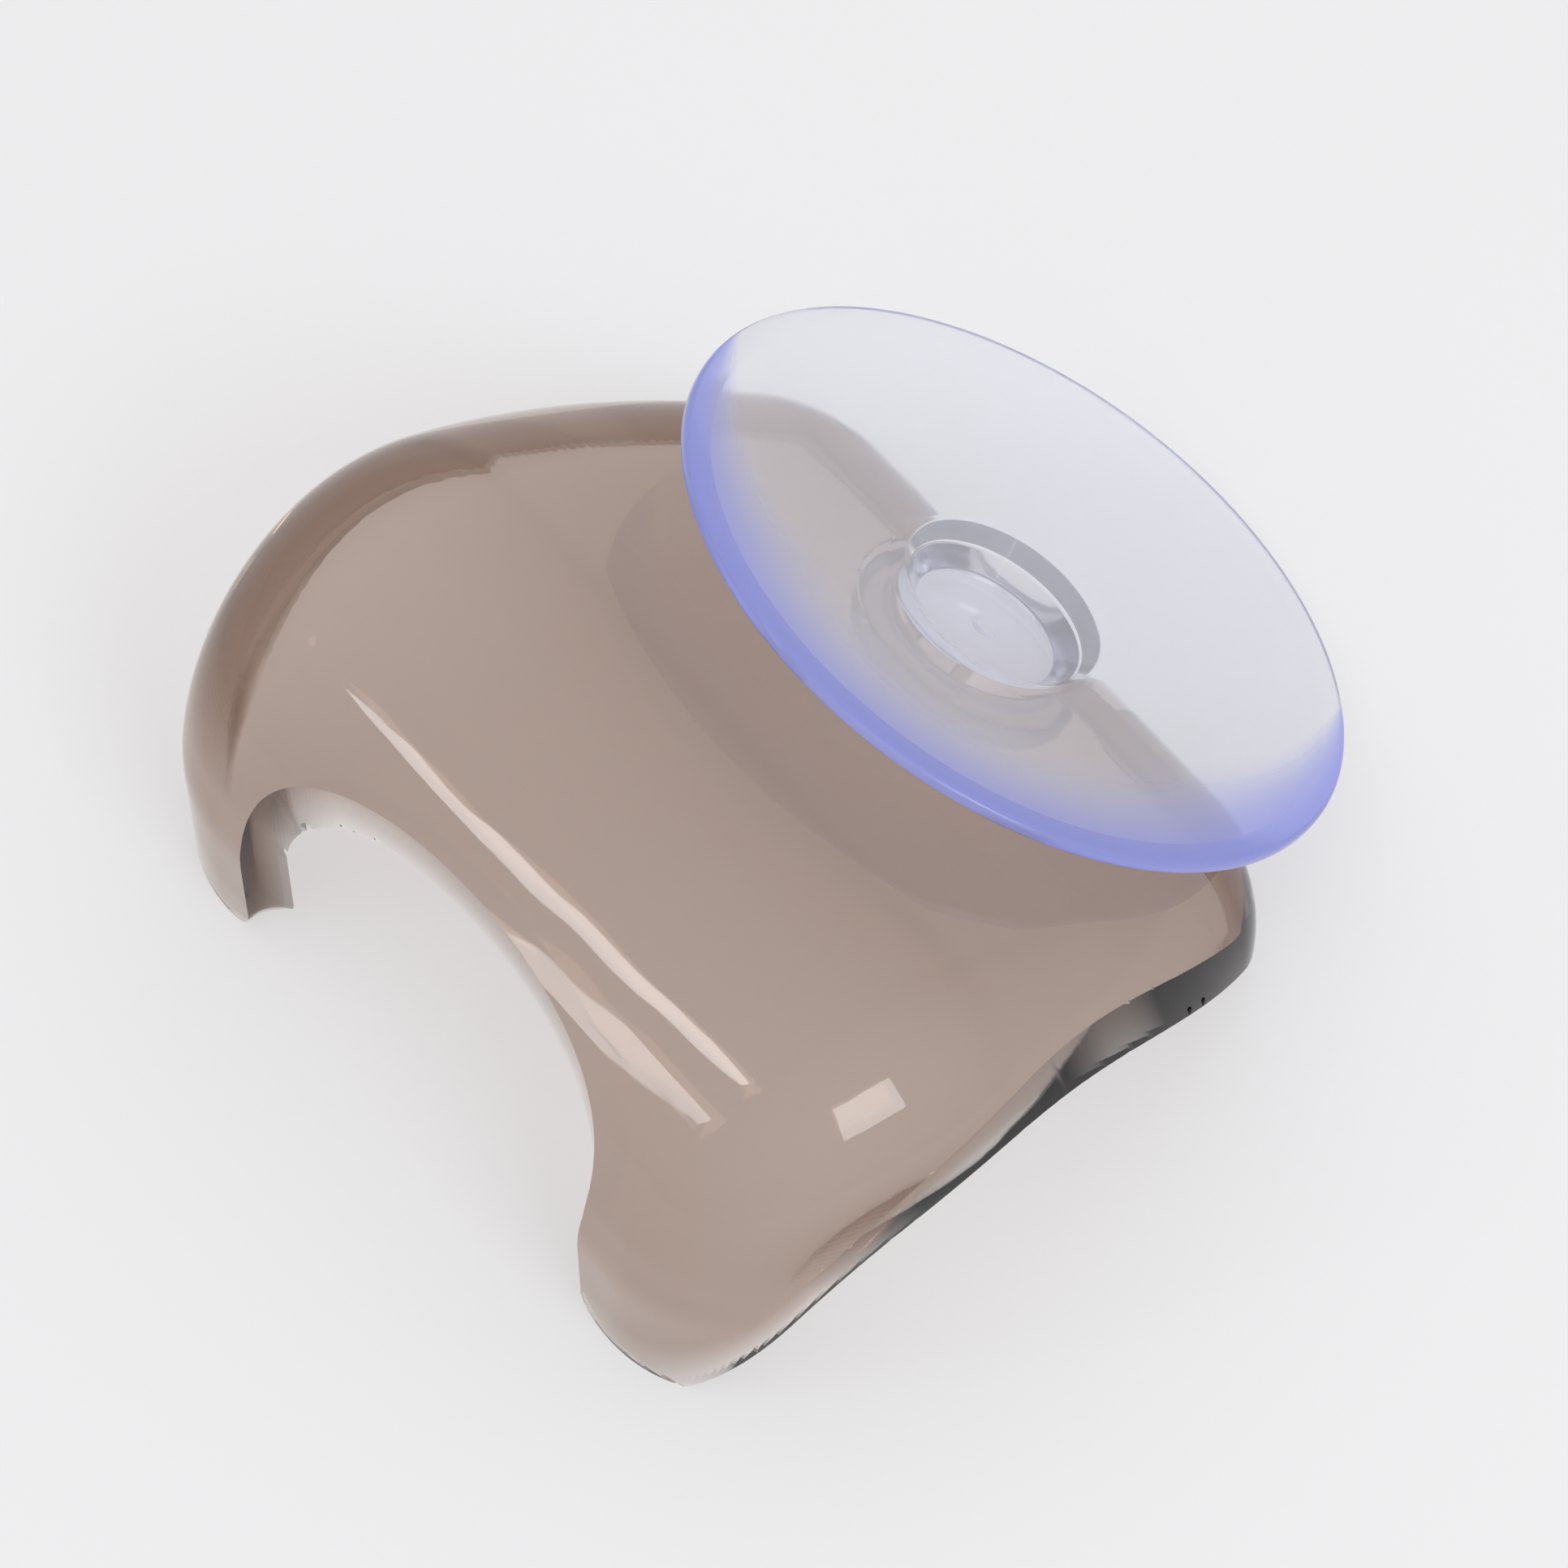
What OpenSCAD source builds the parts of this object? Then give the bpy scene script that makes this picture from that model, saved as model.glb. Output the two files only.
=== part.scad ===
// Razor holder: a clear tinted hood with a notch for the razor's handle,
// and a suction cup pushed into a slot in the hood's back edge.
// It lies on a table: front wall at -Y, low back edge at +Y, table at z = 0.
// Depths are measured from the front wall; origin_shift then centres the part.

/* [Bracket] */
// Height of the hood's crest above the table
body_h = 23.7; // [21:0.1:30]
// Depth of the bracket from front wall to back wall
body_d = 48.8; // [44:0.1:58]
// Wall thickness of the moulding
wall = 2.5; // [1.5:0.1:3.2]
// Slope of the plate down to the back, in degrees
plate_slope = 30.6; // [25:0.1:33]
// Outer radius of the wide bend from front wall to plate
front_bend_r = 16.2; // [13:0.1:18]
// Outer radius of the bend from plate to back wall
back_bend_r = 12.2; // [10:0.1:13]
// Outer radius of the bends along both sides
side_bend_r = 9.2; // [7:0.1:9.3]

/* [Plan outline] */
// Half length of the straight front edge
front_half = 18.4; // [15:0.1:21]
// Half length of the straight back edge
back_half = 14.6; // [12:0.1:19]
// Upright corner radius at the front
front_corner_r = 9.4; // [9.4:0.1:12]
// Upright corner radius at the back
back_corner_r = 11.7; // [10:0.1:13]
// Radius of the bulging sides seen from above
side_r = 48; // [38:1:80]

/* [Razor notch and legs] */
// Half width of the notch between the two front legs
notch_half = 15.9; // [12:0.1:16.5]
// Plan depth of the notch from the front face to its deepest point
notch_depth = 5.9; // [4:0.1:9]
// Length of the notch's straight cheeks before its arch begins
notch_cheek = 0.4; // [0.2:0.1:2]
// Corner radius at the foot of each leg, beside the notch
leg_corner_r = 2.4; // [1:0.1:3]
// Height of the arch in the lower edge of both sides
arch_h = 16.2; // [10:0.1:17]
// Depth of the front leg that stands on the table
front_foot = 1.5; // [1:0.1:5]
// Depth of the back foot that stands on the table
back_foot = 1.8; // [1:0.1:6]

/* [Suction cup] */
// Diameter of the cup's rim
cup_d = 45; // [36:0.5:50]
// Height of the rim plane above the bracket's surface
cup_h = 4.3; // [4:0.1:6]
// Tilt of the cup's axis away from the vertical, in degrees
cup_tilt = 34.4; // [30:0.1:38]
// Sideways lean of the cup in its slot, in degrees
cup_lean = 4.9; // [0:0.1:5]
// Width of the flat lip that seals on a wall
lip_w = 1.6; // [1:0.1:3]
// Thickness of the rim
rim_t = 0.8; // [0.5:0.1:1.4]
// Thickness of the dish beside the neck
dish_t = 1.4; // [1:0.1:2.2]
// Diameter of the neck that sits in the slot
neck_d = 12.4; // [10:0.1:14]
// Diameter of the head behind the bracket's wall
head_d = 15.4; // [14.6:0.1:18]
// Thickness of the head
head_t = 2.4; // [1.5:0.1:3.5]
// Diameter of the well in the middle of the dish, at its mouth
well_d = 13.3; // [11:0.1:14]
// Diameter of the well's floor
well_floor_d = 9.4; // [6:0.1:10]
// Depth of the well below the dish
well_depth = 2.2; // [1:0.1:3]

/* [Fits] */
// Radial clearance between neck and slot
neck_clearance = 0.05; // [0.02:0.01:0.1]
// Gap above and below the bracket's wall in the cup's groove
groove_gap = 0.75; // [0.7:0.05:1]
// How much narrower than the neck the slot's mouth is
mouth_pinch = 0.8; // [0.4:0.1:1.5]
// Radial gap around the head in its pocket
pocket_gap = 0.4; // [0.3:0.1:1]

/* [Hidden] */

// Steps of the bends and outlines
corner_steps = 13;
side_steps = 13;
bend_steps = 10;
arch_steps = 24;
notch_steps = 40;
dish_steps = 12;
round_fn = 96;

// Fullness of the side arch: 2 is a parabola, more is flatter at the crown
arch_power = 1.95;

// How far the arch's crown leans to the front: 0 is even, below 1
arch_lean = 0.39;

// Share of the dish's rise that is straight; the rest curves up to the rim
dish_straight = 0.35;

// Share of the head's thickness that its lower edge is chamfered
head_chamfer = 1 / 3;

// Two unit vectors closer than this angle count as one
same_angle = 0.01;

// Overlap of cuts past the faces they open, and a length past the whole part
slack = 1;
far = 100;

// The hood is a ball of the side bend's radius swept over a smaller core
core_front_r = front_bend_r - side_bend_r;
core_back_r = back_bend_r - side_bend_r;

// Centres of the corner arcs and of the bulging side, seen from above
front_corner = [front_half, front_corner_r];
back_corner = [back_half, body_d - back_corner_r];
side_centre = arc_centre(front_corner, side_r - front_corner_r, back_corner, side_r - back_corner_r);
front_turn = turn_from(side_centre, front_corner);
back_turn = turn_from(side_centre, back_corner);

// Centres of the bends, seen from the side
front_bend = [front_bend_r, body_h - front_bend_r];
plate_start = front_bend + front_bend_r * tilt_normal(plate_slope);
back_bend_y = body_d - back_bend_r;
back_bend = [back_bend_y, plate_z(back_bend_y) - back_bend_r / cos(plate_slope)];

// Place of the cup on the back bend, where the surface has the cup's tilt
seat = back_bend + back_bend_r * tilt_normal(cup_tilt);

neck_r = neck_d / 2;
bore_r = neck_r + neck_clearance;
pocket_r = head_d / 2 + pocket_gap;
groove_h = wall + groove_gap * 2;
cup_r = cup_d / 2;
well_floor_z = dish_t + groove_gap - well_depth;

// The origin lies under the middle of the whole part, on the table
cup_axis_y = cos(cup_lean) * sin(cup_tilt);
rim_back_y = seat[0] + cup_h * cup_axis_y + cup_r * sqrt(1 - cup_axis_y * cup_axis_y);
origin_shift = [0, -rim_back_y / 2, 0];

// Unit normal of a surface that is turned from the vertical, as [y, z]
function tilt_normal(angle) = [sin(angle), cos(angle)];

// Height of the sloping plate's outer plane above a point at depth y
function plate_z(y) = plate_start[1] - (y - plate_start[0]) * tan(plate_slope);

// Centre of an arc at given distances from two points, on the inner side
function arc_centre(a, ra, b, rb) =
    let (
        gap = norm(b - a),
        along = (ra * ra - rb * rb + gap * gap) / (2 * gap),
        aside = sqrt(ra * ra - along * along),
        dir = (b - a) / gap
    )
    a + dir * along + [-dir[1], dir[0]] * aside;

// Angle from the front direction to the line from one point to another
function turn_from(from, to) = atan2(to[0] - from[0], from[1] - to[1]);

// Outward normal of the plan outline after turning from the front
function plan_normal(turn) = [sin(turn), -cos(turn)];

// One station of the core's outline: its turn angle and its point
function plan_point(centre, radius, turn) = [turn, centre + (radius - side_bend_r) * plan_normal(turn)];

// Stations around one corner of the outline
function plan_corner(centre, radius, from, to) = [
    for (i = [0 : corner_steps])
        plan_point(centre, radius, from + (to - from) * i / corner_steps)
];

// Depths of the stations along the bulging side, closer where the front bend turns
side_from_y = side_centre[1] + (side_r - side_bend_r) * plan_normal(front_turn)[1];
side_to_y = side_centre[1] + (side_r - side_bend_r) * plan_normal(back_turn)[1];
bend_end_y = front_bend[0] + core_front_r * sin(plate_slope);
side_depths = concat(
    [
        for (i = [1 : side_steps])
            let (tilt = core_tilt(side_from_y) + (plate_slope - core_tilt(side_from_y)) * i / side_steps)
            front_bend[0] + core_front_r * sin(tilt)
    ],
    [for (i = [1 : side_steps - 1]) bend_end_y + (side_to_y - bend_end_y) * i / side_steps]
);

// Right half of the core's outline, from the front edge round to the back edge
half_outline = concat(
    plan_corner(front_corner, front_corner_r, 0, front_turn),
    [
        for (y = side_depths)
            plan_point(side_centre, side_r, acos((side_centre[1] - y) / (side_r - side_bend_r)))
    ],
    plan_corner(back_corner, back_corner_r, back_turn, 180)
);

// Tilt of the core's upper surface at depth y: -90 at the front, 90 at the back
function core_tilt(y) =
    y < front_bend[0] + core_front_r * sin(plate_slope)
        ? asin(max(-1, (y - front_bend[0]) / core_front_r))
        : y > back_bend[0] + core_back_r * sin(plate_slope)
            ? asin(min(1, (y - back_bend[0]) / core_back_r))
            : plate_slope;

// Height of the core's upper surface at depth y
function core_z(y) =
    y < front_bend[0] + core_front_r * sin(plate_slope)
        ? front_bend[1] + core_front_r * cos(core_tilt(y))
        : y > back_bend[0] + core_back_r * sin(plate_slope)
            ? back_bend[1] + core_back_r * cos(core_tilt(y))
            : plate_z(y) - side_bend_r / cos(plate_slope);

// Unit vector between two unit vectors, a share of the way along their arc
function between(a, b, share) =
    let (apart = acos(max(-1, min(1, a * b))))
    apart < same_angle ? a : (a * sin((1 - share) * apart) + b * sin(share * apart)) / sin(apart);

// One upright row of points on the hood, from its foot over the side bend
function hood_column(station, ball_r, side) =
    let (
        turn = station[0],
        core = [station[1][0], station[1][1], core_z(station[1][1])],
        tilt = core_tilt(station[1][1]),
        outward = [sin(turn), -cos(turn), 0],
        upward = [0, sin(tilt), cos(tilt)],
        foot = core + ball_r * outward,
        row = [for (i = [0 : bend_steps]) core + ball_r * between(outward, upward, i / bend_steps)]
    )
    [for (p = concat([[foot[0], foot[1], -far / 2]], row)) [side * p[0], p[1], p[2]]];

// Closed hood of the core grown by a ball: columns up the right side,
// straight across, and down the left side, one band for each station
module hood_solid(ball_r) {
    rows = bend_steps + 2;
    bands = [
        for (s = half_outline)
            let (right = hood_column(s, ball_r, 1), left = hood_column(s, ball_r, -1))
            concat(right, [for (i = [rows - 1 : -1 : 0]) left[i]])
    ];
    width = rows * 2;
    last = len(bands) - 1;
    skin = [
        for (b = [0 : last - 1], i = [0 : width - 2])
            [b * width + i, b * width + i + 1, (b + 1) * width + i + 1, (b + 1) * width + i]
    ];
    under = [
        for (b = [0 : last - 1])
            [b * width, (b + 1) * width, (b + 1) * width + width - 1, b * width + width - 1]
    ];
    front_end = [for (i = [width - 1 : -1 : 0]) i];
    back_end = [for (i = [0 : width - 1]) last * width + i];
    polyhedron(
        points = [for (band = bands, p = band) p],
        faces = concat(skin, under, [front_end, back_end]),
        convexity = 6
    );
}

// Razor notch seen from above: straight cheeks and an elliptic arch
module razor_notch() {
    arch_depth = notch_depth - notch_cheek;
    outline = [
        for (i = [0 : notch_steps])
            let (a = 180 * i / notch_steps)
            [notch_half * cos(a), notch_cheek + arch_depth * sin(a)]
    ];
    translate([0, 0, -slack])
        linear_extrude(far)
            polygon(concat([[notch_half, -far]], outline, [[-notch_half, -far]]));
}

// Rounds the foot of a leg beside the notch
module leg_corner_cut() {
    centre = notch_half + leg_corner_r;
    translate([0, front_corner_r, 0])
        rotate([90, 0, 0])
            linear_extrude(front_corner_r * 2)
                difference() {
                    translate([notch_half - slack, -slack])
                        square([leg_corner_r + slack, leg_corner_r + slack]);
                    translate([centre, leg_corner_r])
                        circle(leg_corner_r, $fn = round_fn);
                }
}

// Arch through both sides, seen from the side
module side_arch() {
    half_span = (body_d - front_foot - back_foot) / 2;
    middle = front_foot + half_span;
    outline = [
        for (i = [0 : arch_steps])
            let (u = -cos(180 * i / arch_steps), leaned = u + arch_lean * (1 - u * u) / 2)
            [middle + half_span * u, arch_h * (1 - pow(abs(leaned), arch_power))]
    ];
    rotate([90, 0, 90])
        translate([0, 0, -far / 2])
            linear_extrude(far)
                polygon(concat([[front_foot, -slack]], outline, [[body_d - back_foot, -slack]]));
}

// Everything that is drawn on the cup's axis, with z = 0 on the bracket's surface
module on_cup_axis() {
    translate([0, seat[0], seat[1]])
        rotate([-cup_tilt, 0, 0])
            rotate([0, cup_lean, 0])
                children();
}

// Slot for the neck, open to the back, and the wider pocket for the head below it
module cup_slot() {
    shelf = wall + groove_gap / 2;
    mouth_w = neck_d - mouth_pinch;
    on_cup_axis() {
        translate([0, 0, -shelf])
            cylinder(h = far, r = bore_r, $fn = round_fn);
        translate([-mouth_w / 2, 0, -shelf])
            cube([mouth_w, far, far]);
        translate([0, 0, -shelf - far])
            cylinder(h = far, r = pocket_r, $fn = round_fn);
        translate([-pocket_r, 0, -shelf - far])
            cube([pocket_r * 2, far, far]);
    }
}

// Tinted one-piece moulding that holds the razor
module bracket() {
    color([0.62, 0.55, 0.49, 0.6])
        translate(origin_shift)
            difference() {
                hood_solid(side_bend_r);
                hood_solid(side_bend_r - wall);
                translate([-far / 2, -far / 2, -far])
                    cube([far, far * 2, far]);
                razor_notch();
                leg_corner_cut();
                mirror([1, 0, 0])
                    leg_corner_cut();
                side_arch();
                cup_slot();
            }
}

// Share of the dish's height at a share of the way from neck to lip
function dish_rise(u) = dish_straight * u + (1 - dish_straight) * u * u;

// Half section of the cup: radius and height above the bracket's surface
module cup_section() {
    back_z = groove_gap;
    hub_r = neck_r + dish_t;
    lip_r = cup_r - lip_w;
    inner_z = back_z + dish_t;
    head_top = -groove_h + groove_gap;
    head_r = head_d / 2;
    chamfer = head_t * head_chamfer;
    well_r = well_d / 2;
    under = [
        for (i = [0 : dish_steps])
            let (u = i / dish_steps)
            [hub_r + (cup_r - hub_r) * u, back_z + (cup_h - rim_t - back_z) * dish_rise(u)]
    ];
    inside = [
        for (i = [dish_steps : -1 : 0])
            let (u = i / dish_steps)
            [well_r + (lip_r - well_r) * u, inner_z + (cup_h - inner_z) * dish_rise(u)]
    ];
    polygon(concat(
        [
            [0, head_top - head_t],
            [head_r - chamfer, head_top - head_t],
            [head_r, head_top - head_t + chamfer],
            [head_r, head_top],
            [neck_r, head_top],
            [neck_r, back_z]
        ],
        under,
        [[cup_r, cup_h]],
        inside,
        [[well_floor_d / 2, well_floor_z], [0, well_floor_z]]
    ));
}

// Clear soft suction cup with its neck and head, one moulding
module suction_cup() {
    color([0.78, 0.8, 0.95, 0.5])
        translate(origin_shift)
            on_cup_axis()
                rotate_extrude($fn = round_fn)
                    cup_section();
}

bracket();
suction_cup();
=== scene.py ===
"""Razor holder: a clear tinted hood with a razor notch, held by a suction cup."""

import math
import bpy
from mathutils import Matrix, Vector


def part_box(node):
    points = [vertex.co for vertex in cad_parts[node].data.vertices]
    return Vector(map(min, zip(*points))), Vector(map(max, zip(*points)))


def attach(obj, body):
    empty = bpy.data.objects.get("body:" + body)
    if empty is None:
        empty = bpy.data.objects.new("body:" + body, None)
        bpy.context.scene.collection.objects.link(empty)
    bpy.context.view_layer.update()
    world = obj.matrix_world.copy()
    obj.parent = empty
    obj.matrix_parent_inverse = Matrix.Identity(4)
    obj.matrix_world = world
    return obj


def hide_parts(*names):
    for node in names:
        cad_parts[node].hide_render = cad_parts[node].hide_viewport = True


bl_info = {
    "name": "Razor holder",
    "version": (1, 0, 0),
    "blender": (4, 5, 0),
    "location": "3D View > Sidebar > Razor holder",
    "description": "Builds a tinted razor holder, its suction cup and a small studio",
    "category": "Add Mesh",
}

import bpy
import numpy as np
from mathutils import Matrix, Vector

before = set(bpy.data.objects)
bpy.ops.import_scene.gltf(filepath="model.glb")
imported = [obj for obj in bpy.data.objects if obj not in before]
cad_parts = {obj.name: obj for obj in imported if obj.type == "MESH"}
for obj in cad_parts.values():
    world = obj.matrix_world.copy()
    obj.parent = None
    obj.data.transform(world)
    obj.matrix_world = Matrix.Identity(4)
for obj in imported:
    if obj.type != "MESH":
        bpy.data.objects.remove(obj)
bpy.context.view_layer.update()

MM = 0.001

BRACKET = "holder_bracket"
CUP = "holder_suction_cup"

# Share of the strongest bend in a cell that makes a crease
CREASE_SHARE = 0.08
# How far a crease point may lie off the surface in mm, and out of its cell in cells
CREASE_OFF = 0.02
CREASE_STRAY = 0.8
# Reach of the readings beside an edge, in mm
FINE_REACH = 0.004

# Low part of the front half where light passes straight on: its top and how it fades, in mm,
# and its depth as a share of the bracket's
PASS_TOP = 15.0
PASS_FADE = 5.0
PASS_SHARE = 0.7
# Dark line along the outer edge of the lower faces, and how it fades, in mm
LINE_WIDTH = 0.3
LINE_FADE = 0.3
# Share of the notch's half width where the painted shade on the cut faces begins, and how it fades
PAINTED_SHADE_START = 0.7
PAINTED_SHADE_FADE = 0.25

# Painted light on the cup: blue painted on the rim for the light seen there at grazing angles. About the
# middle of the rim, the way across to the painted side, and radii in metres where the painted blue ends on
# that side, on the far side, and where it is full
PAINTED_BLUE_CENTRE = (0.3 * MM, 13.2 * MM, 13.0 * MM)
PAINTED_BLUE_SIDE = (0.55, -0.69, 0.47)
PAINTED_BLUE_WIDE = 12.0 * MM
PAINTED_BLUE_NARROW = 22.3 * MM
PAINTED_BLUE_FULL = 22.6 * MM
# Share of haze that comes with the painted blue
PAINTED_BLUE_HAZE = 0.3
PVC_WHITE = (0.97, 0.97, 1.0, 1.0)
# Painted blue of the rim, for light at grazing angles
PAINTED_RIM_BLUE = (0.45, 0.49, 1.0, 1.0)
PLAIN = (1.0, 1.0, 1.0, 1.0)
# Painted shade: dark brown for the legs' cut faces beside the notch
PAINTED_CUT_SHADE = (0.2, 0.16, 0.14, 1.0)

# Each lamp's place and target, its width and height in metres, and its power in watts
LAMPS = {
    "side window": ((0.56, -0.06, 0.56), (0, 0, 0), 0.36, 0.32, 1.7),
    "bend lamp": ((-0.31, -0.47, 0.61), (0, 0, 0.02), 0.04, 0.2, 0.16),
    "low bend lamp": ((-0.29, -0.66, 0.4), (0, 0, 0.02), 0.045, 0.2, 0.14),
}


def length(name, description, default_mm):
    """A length property whose default is given in millimetres."""
    return bpy.props.FloatProperty(
        name=name, description=description, default=default_mm * MM, min=0.0, unit="LENGTH", precision=5
    )


def slant(name, description, degrees):
    """An angle property whose default is given in degrees."""
    return bpy.props.FloatProperty(
        name=name, description=description, default=math.radians(degrees), subtype="ANGLE"
    )


def tint(name, description, colour):
    """A colour property."""
    return bpy.props.FloatVectorProperty(
        name=name, description=description, default=colour, subtype="COLOR", size=3, min=0.0, max=1.0
    )


def share(name, description, default, top=1.0):
    """A plain number property."""
    return bpy.props.FloatProperty(name=name, description=description, default=default, min=0.0, max=top)


class HolderBracketSizes(bpy.types.PropertyGroup):
    """Sizes of the tinted bracket, as in the CAD part."""

    body_h: length("Height", "Height of the hood's crest above the table", 23.7)
    body_d: length("Depth", "Depth from front wall to back wall", 48.8)
    wall: length("Wall", "Wall thickness of the moulding", 2.5)
    plate_slope: slant("Plate slope", "Slope of the plate down to the back", 30.6)
    front_bend_r: length("Front bend", "Outer radius of the bend over the front wall", 16.2)
    back_bend_r: length("Back bend", "Outer radius of the bend over the back wall", 12.2)
    side_bend_r: length("Side bends", "Outer radius of the bends along both sides", 9.2)
    front_half: length("Front half length", "Half length of the straight front edge", 18.4)
    back_half: length("Back half length", "Half length of the straight back edge", 14.6)
    front_corner_r: length("Front corners", "Upright corner radius at the front", 9.4)
    back_corner_r: length("Back corners", "Upright corner radius at the back", 11.7)
    side_r: length("Side bulge", "Radius of the bulging sides seen from above", 48.0)
    notch_half: length("Notch half width", "Half width of the razor notch", 15.9)
    notch_depth: length("Notch depth", "Plan depth of the razor notch", 5.9)
    notch_cheek: length("Notch cheeks", "Straight length before the notch's arch", 0.4)
    leg_corner_r: length("Leg corners", "Corner radius at the foot of each leg", 2.4)
    arch_h: length("Side arch", "Height of the arch under both sides", 16.2)
    front_foot: length("Front foot", "Depth of the front leg on the table", 1.5)
    back_foot: length("Back foot", "Depth of the back foot on the table", 1.8)
    cell: length("Mesh cell", "Cell of the grid that the moulding is meshed on", 0.35)


class HolderCupSizes(bpy.types.PropertyGroup):
    """Sizes of the suction cup, as in the CAD part."""

    cup_d: length("Rim diameter", "Diameter of the cup's rim", 45.0)
    cup_h: length("Rim height", "Height of the rim plane above the bracket", 4.3)
    cup_tilt: slant("Tilt", "Tilt of the cup's axis away from the vertical", 34.4)
    cup_lean: slant("Lean", "Sideways lean of the cup in its slot", 4.9)
    lip_w: length("Lip width", "Width of the flat lip that seals on a wall", 1.6)
    rim_t: length("Rim thickness", "Thickness of the rim", 0.8)
    dish_t: length("Dish thickness", "Thickness of the dish beside the neck", 1.4)
    neck_d: length("Neck", "Diameter of the neck in the slot", 12.4)
    head_d: length("Head", "Diameter of the head behind the wall", 15.4)
    head_t: length("Head thickness", "Thickness of the head", 2.4)
    well_d: length("Well", "Diameter of the well at its mouth", 13.3)
    well_floor_d: length("Well floor", "Diameter of the well's floor", 9.4)
    well_depth: length("Well depth", "Depth of the well below the dish", 2.2)
    neck_clearance: length("Neck clearance", "Radial clearance between neck and slot", 0.05)
    groove_gap: length("Groove gap", "Gap above and below the wall in the groove", 0.75)
    mouth_pinch: length("Mouth pinch", "How much narrower than the neck the slot's mouth is", 0.8)
    pocket_gap: length("Pocket gap", "Radial gap around the head", 0.4)
    steps: bpy.props.IntProperty(
        name="Steps", description="Steps round the cup", default=240, min=24, max=512
    )


class HolderFinish(bpy.types.PropertyGroup):
    """Colours and surface of the two plastics."""

    smoke: tint("Smoke", "Colour that the tinted plastic lets through", (0.389, 0.158, 0.0056))
    smoke_density: share("Smoke density", "Absorption of the tinted plastic per metre", 330.0, 2000.0)
    pvc: tint("PVC", "Colour that the cup's plastic lets through", (0.5, 0.56, 0.97))
    pvc_density: share("PVC density", "Absorption of the cup's plastic per metre", 30.0, 2000.0)
    frost: share("Frost", "Roughness of the satin dish", 0.42)
    smoke_gloss: share("Smoke roughness", "Roughness of the tinted plastic", 0.03)
    smoke_ior: share("Smoke IOR", "Index of refraction of the tinted plastic", 1.49, 3.0)
    pvc_ior: share("PVC IOR", "Index of refraction of the cup's plastic", 1.52, 3.0)
    pvc_clear: share("PVC clearness", "Share of light that enters the cup's plastic", 0.8)


class HolderStage(bpy.types.PropertyGroup):
    """Camera, lamps and floor."""

    camera_at: bpy.props.FloatVectorProperty(
        name="Camera",
        description="Place of the camera",
        default=(0.15229, -0.12512, 0.34798),
        subtype="XYZ",
    )
    camera_azimuth: slant("Azimuth", "Turn of the view about the vertical", 51.546)
    camera_elevation: slant("Elevation", "Height of the camera above the horizon", 60.202)
    camera_roll: slant("Roll", "Roll of the camera", 0.840)
    lens: share("Lens", "Focal length on a 36 mm sensor, in millimetres", 152.65, 500.0)
    floor_colour: tint("Floor", "Colour of the floor", (0.83, 0.83, 0.84))
    floor_glow: tint("Floor glow", "Colour of the glow that keeps the floor pale", (0.98, 0.97, 0.97))
    glow_share: share("Glow share", "Share of the glow in the floor that is seen", 0.45)
    sky_colour: tint("Sky", "Colour of the soft light all round", (0.9, 0.9, 0.92))
    sky_strength: share("Sky strength", "Strength of the soft light all round", 0.8, 10.0)


def curve_distance(along, across, half, height, power, lean):
    """Distance above an arch whose crown leans to one side, to first order."""
    u = along / half
    leaned = u + lean * (1 - u * u) / 2
    rise = height * (1 - np.abs(leaned) ** power)
    steep = np.sign(leaned) * np.abs(leaned) ** (power - 1) * (1 - lean * u)
    return (across - rise) / np.sqrt(1 + (height * power * steep / half) ** 2)


def round_both(a, b, radius):
    """Distance to the overlap of two solids with its edge rounded off."""
    beyond = np.hypot(np.maximum(a + radius, 0), np.maximum(b + radius, 0)) - radius
    return np.minimum(np.maximum(a, b), -radius) + (beyond + radius)


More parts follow.
